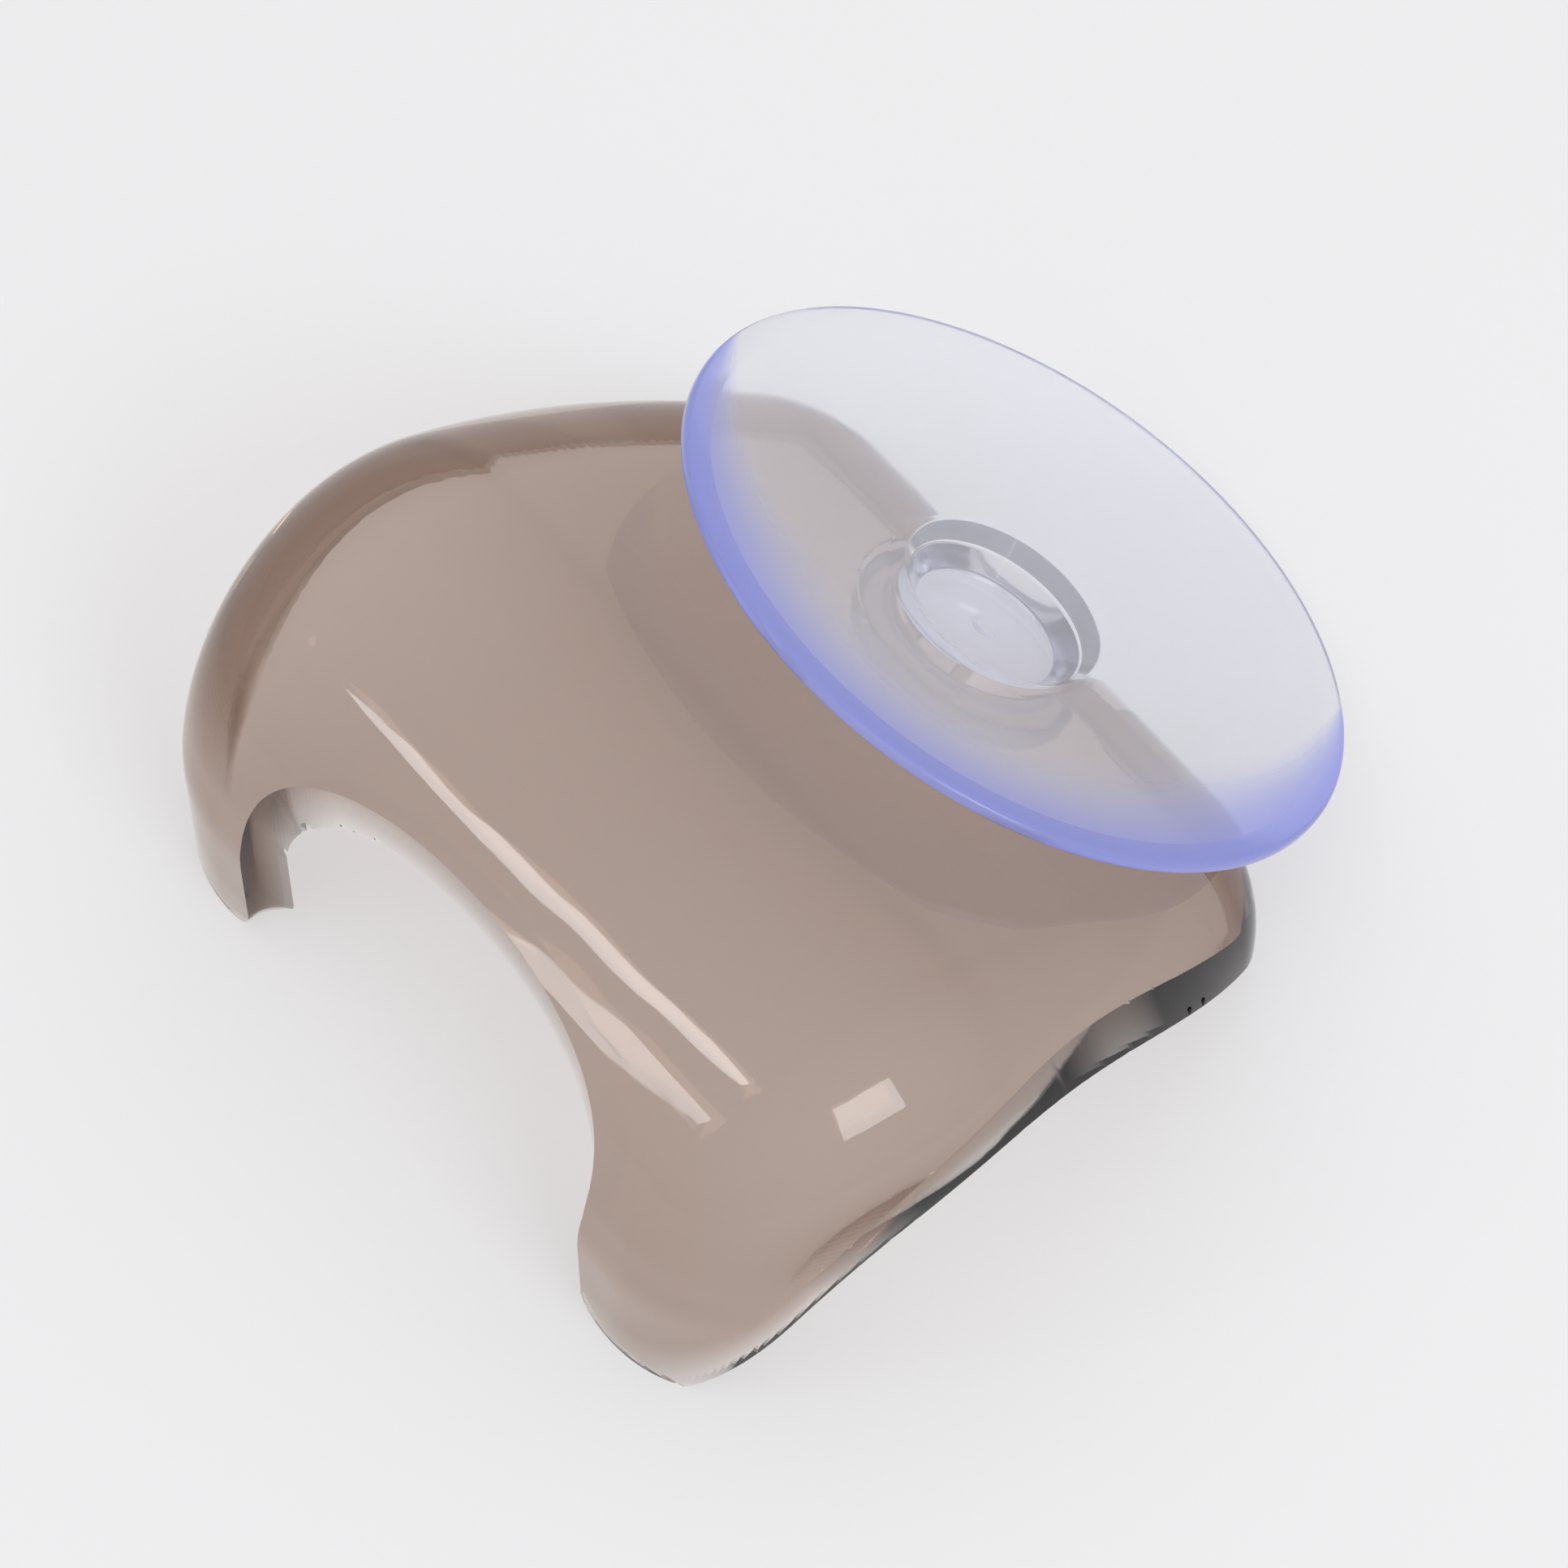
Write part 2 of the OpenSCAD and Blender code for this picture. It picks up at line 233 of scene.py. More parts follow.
class HoodShape:
    """The bracket as a distance field in millimetres: a ball swept over a convex core,
    hollowed to its wall, then cut by the notch, the arches and the cup's slot."""

    ARCH_POWER = 1.95
    ARCH_LEAN = 0.39
    ROUNDS = 20

    def __init__(self, sizes, cup, shift_y):
        for name in sizes.__annotations__:
            setattr(self, name, getattr(sizes, name) / MM)
        self.slope = sizes.plate_slope
        self.shift_y = shift_y
        plain = ("steps", "cup_tilt", "cup_lean")
        self.cup = {n: getattr(cup, n) / MM for n in cup.__annotations__ if n not in plain}
        self.tilt = cup.cup_tilt
        self.lean = cup.cup_lean
        r = self.side_bend_r
        self.front_corner = np.array([self.front_half, self.front_corner_r])
        self.back_corner = np.array([self.back_half, self.body_d - self.back_corner_r])
        self.side_centre = self.arc_centre()
        self.front_turn = self.turn(self.front_corner)
        self.back_turn = self.turn(self.back_corner)
        self.core_front_r = self.front_bend_r - r
        self.core_back_r = self.back_bend_r - r
        self.front_bend = np.array([self.front_bend_r, self.body_h - self.front_bend_r])
        sine, cosine = math.sin(self.slope), math.cos(self.slope)
        back_y = self.body_d - self.back_bend_r
        start = self.front_bend + self.front_bend_r * np.array([sine, cosine])
        back_z = start[1] - (back_y - start[0]) * math.tan(self.slope) - self.back_bend_r / cosine
        self.back_bend = np.array([back_y, back_z])
        self.run = (self.back_bend - self.front_bend) @ np.array([cosine, -sine])
        self.seat = self.back_bend + self.back_bend_r * np.array([math.sin(self.tilt), math.cos(self.tilt)])

    def arc_centre(self):
        """Centre of the bulging side, which meets both corner arcs smoothly."""
        ra, rb = self.side_r - self.front_corner_r, self.side_r - self.back_corner_r
        gap = np.linalg.norm(self.back_corner - self.front_corner)
        along = (ra * ra - rb * rb + gap * gap) / (2 * gap)
        aside = math.sqrt(ra * ra - along * along)
        way = (self.back_corner - self.front_corner) / gap
        return self.front_corner + way * along + np.array([-way[1], way[0]]) * aside

    def turn(self, point):
        """Turn from the front direction of a point seen from the side's centre."""
        dx, dy = point - self.side_centre
        return math.atan2(dx, -dy)

    def plan_pull(self, x, y):
        """How far and which way a point lies outside the core seen from above (x >= 0)."""
        r = self.side_bend_r
        sx, sy = x - self.side_centre[0], y - self.side_centre[1]
        seen = np.arctan2(sx, -sy)
        gap = np.hypot(sx, sy)
        gap_safe = np.maximum(gap, 1e-9)
        out = gap - (self.side_r - r)
        nx, ny = sx / gap_safe, sy / gap_safe
        for corner, radius, mask, way in (
            (self.front_corner, self.front_corner_r - r, seen < self.front_turn, -1.0),
            (self.back_corner, self.back_corner_r - r, seen > self.back_turn, 1.0),
        ):
            cx, cy = x - corner[0], y - corner[1]
            flat = cx <= 0
            reach = np.maximum(np.hypot(cx, cy), 1e-9)
            corner_out = np.where(flat, way * cy, reach) - radius
            out = np.where(mask, corner_out, out)
            nx = np.where(mask, np.where(flat, 0.0, cx / reach), nx)
            ny = np.where(mask, np.where(flat, way, cy / reach), ny)
        return out, nx, ny

    def profile_pull(self, y, z):
        """How far and which way a point lies outside the core seen from the side."""
        sine, cosine = math.sin(self.slope), math.cos(self.slope)
        fy, fz = y - self.front_bend[0], z - self.front_bend[1]
        along = fy * cosine - fz * sine
        out = fy * sine + fz * cosine - self.core_front_r
        ny, nz = np.full_like(y, sine), np.full_like(y, cosine)
        for centre, radius, mask, way in (
            (self.front_bend, self.core_front_r, along < 0, -1.0),
            (self.back_bend, self.core_back_r, along > self.run, 1.0),
        ):
            cy, cz = y - centre[0], z - centre[1]
            flat = cz <= 0
            reach = np.maximum(np.hypot(cy, cz), 1e-9)
            bend_out = np.where(flat, way * cy, reach) - radius
            out = np.where(mask, bend_out, out)
            ny = np.where(mask, np.where(flat, way, cy / reach), ny)
            nz = np.where(mask, np.where(flat, 0.0, cz / reach), nz)
        return out, ny, nz

    def core_distance(self, x, y, z):
        """Distance to the core by alternating projections onto its two outlines."""
        px, py, pz = x.copy(), y.copy(), z.copy()
        ax, ay = np.zeros_like(x), np.zeros_like(x)
        by, bz = np.zeros_like(x), np.zeros_like(x)
        for _ in range(self.ROUNDS):
            ax_at, ay_at = px + ax, py + ay
            a_out, a_nx, a_ny = self.plan_pull(ax_at, ay_at)
            a_gap = np.maximum(a_out, 0)
            ax, ay = a_gap * a_nx, a_gap * a_ny
            px, py = ax_at - ax, ay_at - ay
            by_at, bz_at = py + by, pz + bz
            b_out, b_ny, b_nz = self.profile_pull(by_at, bz_at)
            b_gap = np.maximum(b_out, 0)
            by, bz = b_gap * b_ny, b_gap * b_nz
            py, pz = by_at - by, bz_at - bz
        # The last two planes make a wedge, and the distance to a wedge is exact
        a = a_nx * (x - ax_at) + a_ny * (y - ay_at) + a_out
        b = b_ny * (y - by_at) + b_nz * (z - bz_at) + b_out
        c = a_ny * b_ny
        square = np.maximum(a * a + b * b - 2 * a * b * c, 0) / np.maximum(1 - c * c, 1e-9)
        wedge = (a > c * b) & (b > c * a)
        return np.where(wedge, np.sqrt(square), np.maximum(a, b))

    def notch_distance(self, x, y):
        """Distance to the razor notch seen from above."""
        deep = self.notch_depth - self.notch_cheek
        past = np.maximum(y - self.notch_cheek, 0)
        one = np.hypot(x / self.notch_half, past / deep)
        two = np.maximum(np.hypot(x / self.notch_half**2, past / deep**2), 1e-6)
        return one * (one - 1) / two

    def slot_distance(self, x, y, z):
        """Distance to the slot for the cup's neck and the pocket for its head."""
        cup = self.cup
        sine, cosine = math.sin(self.tilt), math.cos(self.tilt)
        ry, rz = y - self.seat[0], z - self.seat[1]
        along, up = ry * cosine - rz * sine, ry * sine + rz * cosine
        sine, cosine = math.sin(self.lean), math.cos(self.lean)
        x, up = x * cosine - up * sine, x * sine + up * cosine
        reach = np.hypot(x, along)
        shelf = self.wall + cup["groove_gap"] / 2
        neck = reach - cup["neck_d"] / 2 - cup["neck_clearance"]
        mouth = np.maximum(np.abs(x) - (cup["neck_d"] - cup["mouth_pinch"]) / 2, -along)
        pocket_r = cup["head_d"] / 2 + cup["pocket_gap"]
        pocket = np.minimum(reach - pocket_r, np.maximum(np.abs(x) - pocket_r, -along))
        upper = np.maximum(np.minimum(neck, mouth), -up - shelf)
        return np.minimum(upper, np.maximum(pocket, up + shelf))

    def distance(self, points):
        """Signed distance to the bracket, negative in the plastic."""
        x, y, z = np.abs(points[:, 0]), points[:, 1] - self.shift_y, points[:, 2]
        middle = self.side_bend_r - self.wall / 2
        solid = np.abs(self.core_distance(x, y, z) - middle) - self.wall / 2
        foot = round_both(-self.notch_distance(x, y), -z, self.leg_corner_r)
        solid = np.maximum(solid, foot)
        half = (self.body_d - self.front_foot - self.back_foot) / 2
        along = y - self.front_foot - half
        arch = curve_distance(along, z, half, self.arch_h, self.ARCH_POWER, self.ARCH_LEAN)
        return np.maximum(np.maximum(solid, -arch), -self.slot_distance(points[:, 0], y, z))

    def slope_at(self, points, reach=0.01):
        """Outward direction and length of the field's steepest rise."""
        total = np.zeros_like(points)
        for way in ((1, -1, -1), (-1, -1, 1), (-1, 1, -1), (1, 1, 1)):
            way = np.array(way, dtype=float)
            total += way * self.distance(points + reach * way)[:, None]
        return total / (4 * reach)


def cross_edges(shape, values, low, cell):
    """Grid edges that the surface crosses: axis, lower end, crossing point and direction."""
    found = []
    for axis in range(3):
        count = values.shape[axis]
        first = np.take(values, range(count - 1), axis)
        second = np.take(values, range(1, count), axis)
        at = np.argwhere((first < 0) != (second < 0))
        a, b = first[tuple(at.T)], second[tuple(at.T)]
        outward = a < 0
        near, far = np.zeros(len(at)), np.ones(len(at))
        for _ in range(4):
            t = np.clip(near + (far - near) * a / (a - b), near + 1e-6, far)
            point = low + cell * at
            point[:, axis] += cell * t
            value = shape.distance(point)
            same = (value < 0) == (a < 0)
            near, a = np.where(same, t, near), np.where(same, value, a)
            far, b = np.where(same, far, t), np.where(same, b, value)
        found.append((axis, at, point, outward))
    return found


def fit_points(shape, total, square, weighted, hits, corner, cell):
    """The point of each cell that fits its crossings' planes best, and whether it lies on a crease."""
    mean = total / hits[:, None]
    root, ways = np.linalg.eigh(square)
    strong = root > CREASE_SHARE * root[:, 2:3]
    pull = weighted - np.einsum("nij,nj->ni", square, mean)
    inner = np.einsum("nji,nj->ni", ways, pull)
    inner = np.where(strong, inner / np.maximum(root, 1e-12), 0.0)
    best = mean + np.einsum("nij,nj->ni", ways, inner)
    boxed = np.clip(best, corner, corner + cell)
    outside = np.flatnonzero(np.abs(best - boxed).max(axis=1) > 1e-9)
    # A sharp edge may leave its cell, but only as far as it stays on the surface
    astray = np.abs(shape.distance(best[outside])) > CREASE_OFF
    astray |= np.abs(best[outside] - boxed[outside]).max(axis=1) > CREASE_STRAY * cell
    best[outside[astray]] = boxed[outside[astray]]
    return best, strong.sum(axis=1) > 1


def surface_net(shape, low, high, cell):
    """Points and quads of the surface where the shape's distance is zero, with points on its creases."""
    low = np.array(low)
    counts = [int(math.ceil((b - a) / cell)) + 1 for a, b in zip(low, high)]
    axes = [a + cell * np.arange(n) for a, n in zip(low, counts)]
    grid = np.stack(np.meshgrid(*axes, indexing="ij"), axis=-1).reshape(-1, 3)
    values = np.concatenate([shape.distance(part) for part in np.array_split(grid, 24)]).reshape(counts)
    cells = tuple(n - 1 for n in counts)
    size = int(np.prod(cells))
    # Of each cell: its crossings' points (3), planes (6), planes' heights (3) and count
    sums = [np.zeros(size) for _ in range(13)]
    quads = []
    for axis, at, point, outward in cross_edges(shape, values, low, cell):
        rise = shape.slope_at(point, FINE_REACH)
        unit = rise / np.maximum(np.linalg.norm(rise, axis=1, keepdims=True), 1e-9)
        height = (unit * point).sum(axis=1)
        parts = [point[:, k] for k in range(3)]
        parts += [unit[:, i] * unit[:, j] for i in range(3) for j in range(i, 3)]
        parts += [unit[:, k] * height for k in range(3)] + [np.ones(len(at))]
        one, two = (axis + 1) % 3, (axis + 2) % 3
        ring = []
        for back_one, back_two in ((0, 0), (1, 0), (1, 1), (0, 1)):
            corner = at.copy()
            corner[:, one] -= back_one
            corner[:, two] -= back_two
            index = np.ravel_multi_index(tuple(corner.T), cells)
            ring.append(index)
            for kept, part in zip(sums, parts):
                kept += np.bincount(index, part, size)
        ring = np.stack(ring, axis=1)
        quads.append(np.where(outward[:, None], ring, ring[:, ::-1]))
    hits = sums[12]
    used = np.flatnonzero(hits)
    fresh = np.full(size, -1)
    fresh[used] = np.arange(len(used))
    pick = [kept[used] for kept in sums]
    total = np.stack(pick[:3], axis=1)
    xx, xy, xz, yy, yz, zz = pick[3:9]
    square = np.stack([xx, xy, xz, xy, yy, yz, xz, yz, zz], axis=1).reshape(-1, 3, 3)
    corner = low + cell * np.stack(np.unravel_index(used, cells), axis=1)
    weighted = np.stack(pick[9:12], axis=1)
    points, crease = fit_points(shape, total, square, weighted, hits[used], corner, cell)
    return points, fresh[np.concatenate(quads)], crease


def settle(shape, points, quads, crease, rounds):
    """Evens the points out along the surface and keeps them on it, but for those on a crease."""
    edges = np.concatenate([quads[:, [k, (k + 1) % 4]] for k in range(4)])
    edges = np.concatenate([edges, edges[:, ::-1]])
    near = np.bincount(edges[:, 0], minlength=len(points))[:, None]
    free = ~crease
    for _ in range(rounds):
        rise = shape.slope_at(points[free])
        unit = rise / np.maximum(np.linalg.norm(rise, axis=1, keepdims=True), 0.3)
        ends = points[edges[:, 1]]
        mean = np.stack([np.bincount(edges[:, 0], ends[:, k], len(points)) for k in range(3)], 1)
        move = (mean / near - points)[free]
        points[free] += 0.5 * (move - unit * (move * unit).sum(axis=1, keepdims=True))
        rise = shape.slope_at(points[free])
        steep = np.maximum((rise * rise).sum(axis=1, keepdims=True), 0.1)
        points[free] -= np.clip(shape.distance(points[free])[:, None] / steep, -0.3, 0.3) * rise
    return points


def corner_normals(shape, points, quads):
    """The surface's direction at each face corner, read a little inside the face.

    A sliver beside a sharp edge takes the direction of its own face instead.
    """
    centre = points[quads].mean(axis=1, keepdims=True)
    spots = (0.8 * points[quads] + 0.2 * centre).reshape(-1, 3)
    rise = np.concatenate([shape.slope_at(part, FINE_REACH) for part in np.array_split(spots, 8)])
    unit = rise / np.maximum(np.linalg.norm(rise, axis=1, keepdims=True), 1e-9)
    faces = np.repeat(face_normals(points, quads), 4, axis=0)
    return np.where((unit * faces).sum(axis=1, keepdims=True) > 0.8, unit, faces)


def face_normals(points, quads):
    """Unit normals of the quads."""
    a, b, c, d = (points[quads[:, k]] for k in range(4))
    normal = np.cross(c - a, d - b)
    return normal / np.maximum(np.linalg.norm(normal, axis=1, keepdims=True), 1e-12)


def steepest(field, places, reach=0.01):
    """Unit direction in which a field of coordinates rises most."""
    total = np.zeros_like(places)
    for way in ((1, -1, -1), (-1, -1, 1), (-1, 1, -1), (1, 1, 1)):
        way = np.array(way, dtype=float)
        total += way * field(*(places + reach * way).T)[:, None]
    return total / np.maximum(np.linalg.norm(total, axis=1, keepdims=True), 1e-12)


def right_half(shape, points, quads):
    """Middles and normals of the quads in the shape's own frame, mirrored to its right half."""
    middle, normal = points[quads].mean(axis=1), face_normals(points, quads)
    flip = np.where(middle[:, :1] < 0, -1.0, 1.0) * [1, 0, 0] + [0, 1, 1]
    return middle * flip - [0, shape.shift_y, 0], normal * flip


def see_through(shape, points, quads):
    """How far light passes straight on through each quad, 0 to 1.

    It does in the low inner and lower faces of the front half. The photo shows no total
    reflection there, only a thin dark line at the outer edge.
    """
    place, normal = right_half(shape, points, quads)
    depth = shape.side_bend_r - shape.core_distance(*place.T)
    inward = -(normal * steepest(shape.core_distance, place)).sum(axis=1)
    inside = (depth > shape.wall - 0.3) & (inward > 0.7)
    under = normal[:, 2] < -0.2
    deep = np.where(inside, 1.0, under * np.clip((depth - LINE_WIDTH) / LINE_FADE, 0, 1))
    low = np.clip((PASS_TOP - place[:, 2]) / PASS_FADE, 0, 1)
    near = np.clip((PASS_SHARE * shape.body_d - place[:, 1]) / PASS_FADE, 0, 1)
    return (deep * (low * near)).astype(np.float32)


def cheeks(shape, points, quads):
    """How much painted shade each quad takes as a cut face of the legs beside the notch, 0 to 1."""
    place, normal = right_half(shape, points, quads)
    rise = steepest(lambda x, y, z: shape.notch_distance(x, y), place)
    close = np.abs(shape.notch_distance(place[:, 0], place[:, 1])) < 0.2
    cut = close & ((normal * rise).sum(axis=1) < -0.7)
    beside = np.clip((place[:, 0] / shape.notch_half - PAINTED_SHADE_START) / PAINTED_SHADE_FADE, 0, 1)
    return (cut * beside).astype(np.float32)


def mesh_object(name, points, faces, material):
    """A smooth mesh object at the origin from points in metres."""
    mesh = bpy.data.meshes.new(name)
    mesh.from_pydata(points.tolist(), [], faces.tolist())
    mesh.polygons.foreach_set("use_smooth", np.ones(len(mesh.polygons), dtype=bool))
    mesh.materials.append(material)
    mesh.update()
    made = bpy.data.objects.new(name, mesh)
    bpy.context.scene.collection.objects.link(made)
    return made


def rounded_line(corners, steps=6):
    """A line of (radius, height, frost, rounding) corners with its corners rounded off."""
    most = 0.45  # share of a side that one rounding may take
    line = []
    for i, (x, y, frost, radius) in enumerate(corners):
        here = np.array([x, y])
        if radius <= 0 or i in (0, len(corners) - 1):
            line.append((x, y, frost))
            continue
        before, after = np.array(corners[i - 1][:2]) - here, np.array(corners[i + 1][:2]) - here
        one, two = before / np.linalg.norm(before), after / np.linalg.norm(after)
        half = math.acos(max(-1.0, min(1.0, one @ two))) / 2
        back = min(radius / math.tan(half), most * np.linalg.norm(before), most * np.linalg.norm(after))
        start, end = here + one * back, here + two * back
        for k in range(steps + 1):
            t = k / steps
            spot = (1 - t) ** 2 * start + 2 * t * (1 - t) * here + t * t * end
            line.append((spot[0], spot[1], frost))
    return line


class Nodes:
    """Short calls to add and link nodes in one tree."""

    def __init__(self, tree):
        self.tree = tree

    def add(self, kind, inputs=None, **settings):
        """A node with settings and inputs: values, or sockets to link."""
        node = self.tree.nodes.new(kind)
        for key, value in settings.items():
            setattr(node, key, value)
        for key, value in (inputs or {}).items():
            if isinstance(value, bpy.types.NodeSocket):
                self.tree.links.new(value, node.inputs[key])
            else:
                node.inputs[key].default_value = value
        return node

    def maths(self, operation, a, b=0.0, c=0.0):
        """One Math node's output."""
        kind = "ShaderNodeMath"
        return self.add(kind, {0: a, 1: b, 2: c}, operation=operation).outputs[0]


def revolve_tree():
    """Geometry Nodes that turn a half section about an axis and stand it in place."""
    tree = bpy.data.node_groups.new("Turned section", "GeometryNodeTree")
    for name, kind in (
        ("Section", "NodeSocketGeometry"),
        ("Steps round", "NodeSocketInt"),
        ("Seat", "NodeSocketVector"),
        ("Turn", "NodeSocketVector"),
        ("Plastic", "NodeSocketMaterial"),
    ):
        tree.interface.new_socket(name=name, in_out="INPUT", socket_type=kind)
    tree.interface.new_socket(name="Turned", in_out="OUTPUT", socket_type="NodeSocketGeometry")
    n = Nodes(tree)
    given = n.add("NodeGroupInput").outputs
    size = n.add("GeometryNodeAttributeDomainSize", {0: given["Section"]}, component="MESH")
    around = n.maths("ADD", given["Steps round"], 1.0)
    rows = size.outputs["Point Count"]
    grid = n.add(
        "GeometryNodeMeshGrid", {"Size X": 1.0, "Size Y": 1.0, "Vertices X": rows, "Vertices Y": around}
    )
    place = n.add("ShaderNodeSeparateXYZ", {0: n.add("GeometryNodeInputPosition").outputs[0]}).outputs
    last = n.maths("SUBTRACT", rows, 1.0)
    row = n.maths("ROUND", n.maths("MULTIPLY", n.maths("ADD", place[0], 0.5), last))
    angle = n.maths("MULTIPLY", n.maths("ADD", place[1], 0.5), 2 * math.pi)
    section = n.add(
        "GeometryNodeSampleIndex",
        {0: given["Section"], "Value": n.add("GeometryNodeInputPosition").outputs[0], "Index": row},
        data_type="FLOAT_VECTOR",
    )
    frost_in = n.add("GeometryNodeInputNamedAttribute", {"Name": "frost"}, data_type="FLOAT")
    frost = n.add(
        "GeometryNodeSampleIndex",
        {0: given["Section"], "Value": frost_in.outputs[0], "Index": row},
        data_type="FLOAT",
    )
    part = n.add("ShaderNodeSeparateXYZ", {0: section.outputs[0]}).outputs
    spot = n.add(
        "ShaderNodeCombineXYZ",
        {
            0: n.maths("MULTIPLY", part[0], n.maths("COSINE", angle)),
            1: n.maths("MULTIPLY", part[0], n.maths("SINE", angle)),
            2: part[2],
        },
    )
    moved = n.add("GeometryNodeSetPosition", {0: grid.outputs[0], "Position": spot.outputs[0]})
    stored = n.add(
        "GeometryNodeStoreNamedAttribute",
        {0: moved.outputs[0], "Name": "frost", "Value": frost.outputs[0]},
        data_type="FLOAT",
        domain="POINT",
    )
    closed = n.add("GeometryNodeMergeByDistance", {0: stored.outputs[0], "Distance": 0.001 * MM})
    stood = n.add(
        "GeometryNodeTransform",
        {0: closed.outputs[0], "Translation": given["Seat"], "Rotation": given["Turn"]},
    )
    outward = n.add("GeometryNodeFlipFaces", {0: stood.outputs[0]})
    smooth = n.add("GeometryNodeSetShadeSmooth", {0: outward.outputs[0]})
    real = n.add("GeometryNodeRealizeInstances", {0: smooth.outputs[0]})
    coat = n.add("GeometryNodeSetMaterial", {0: real.outputs[0], "Material": given["Plastic"]})
    n.add("NodeGroupOutput", {0: coat.outputs[0]})
    return tree


def apply_nodes(made, tree, values):
    """Runs a node tree on an object and keeps its result as a plain mesh."""
    modifier = made.modifiers.new(tree.name, "NODES")
    modifier.node_group = tree
    for item in tree.interface.items_tree:
        if item.in_out == "INPUT" and item.name in values:
            modifier[item.identifier] = values[item.name]
    made.update_tag()
    seen = made.evaluated_get(bpy.context.evaluated_depsgraph_get())
    result = bpy.data.meshes.new_from_object(seen)
    made.modifiers.remove(modifier)
    made.data = result
    return made


def glass_material(name, roughness, ior, clearness, through, density, bump_nodes):
    """Clear plastic that darkens with its own thickness and lets lamps shine through."""
    material = bpy.data.materials.new(name)
    material.use_nodes = True
    material.node_tree.nodes.clear()
    n = Nodes(material.node_tree)
    rough, normal, colour, haze = bump_nodes(n, roughness)
    clear_share = n.maths("SUBTRACT", clearness, haze)
    body = n.add(
        "ShaderNodeBsdfPrincipled",
        {
            "Base Color": colour,
            "Roughness": rough,
            "IOR": ior,
            "Transmission Weight": clear_share,
            "Normal": normal,
        },
    )
    clear = n.add("ShaderNodeBsdfTransparent", {"Color": (0.93, 0.93, 0.93, 1.0)})
    lamp = n.add("ShaderNodeLightPath").outputs["Is Shadow Ray"]
    surface = n.add("ShaderNodeMixShader", {0: lamp, 1: body.outputs[0], 2: clear.outputs[0]})
    # Faces without total reflection let light pass straight on
    passing = n.add("ShaderNodeAttribute", attribute_name="see_through").outputs["Fac"]
    straight = n.add("ShaderNodeBsdfTransparent")
    surface = n.add("ShaderNodeMixShader", {0: passing, 1: surface.outputs[0], 2: straight.outputs[0]})
    inside = n.add("ShaderNodeVolumeAbsorption", {"Color": (*through, 1.0), "Density": density})
    n.add(
        "ShaderNodeOutputMaterial", {"Surface": surface.outputs[0], "Volume": inside.outputs[0]}
    )
    return material


def moulded_surface(n, roughness):
    """Glossy moulding: slow waves and fine scratches, with painted shade on the legs' cut faces."""
    place = n.add("ShaderNodeTexCoord").outputs["Object"]
    waves = n.add("ShaderNodeTexNoise", {"Vector": place, "Scale": 90.0, "Detail": 1.0}).outputs["Fac"]
    stretched = n.add(
        "ShaderNodeMapping",
        {"Vector": place, "Rotation": (0.3, 0.2, 0.9), "Scale": (60.0, 1400.0, 400.0)},
    ).outputs[0]
    lines = n.add("ShaderNodeTexNoise", {"Vector": stretched, "Scale": 1.0, "Detail": 2.0}).outputs["Fac"]
    scratch = n.add(
        "ShaderNodeMapRange",
        {"Value": lines, "From Min": 0.66, "From Max": 0.74, "To Min": 0.0, "To Max": 1.0},
    ).outputs[0]
    wave_bump = n.add(
        "ShaderNodeBump", {"Height": waves, "Strength": 0.22, "Distance": 0.4 * MM}
    ).outputs[0]
    fine = n.add(
        "ShaderNodeBump", {"Height": scratch, "Strength": 0.04, "Distance": 0.02 * MM, "Normal": wave_bump}
    ).outputs[0]
    rough = n.maths("MULTIPLY_ADD", scratch, 0.12, roughness)
    # Painted shade: the legs' cut faces beside the notch are painted dark brown
    cut = n.add("ShaderNodeAttribute", attribute_name="cheeks").outputs["Fac"]
    colour = n.add("ShaderNodeMix", {0: cut, 6: PLAIN, 7: PAINTED_CUT_SHADE}, data_type="RGBA").outputs[2]
    return rough, fine, colour, 0.0


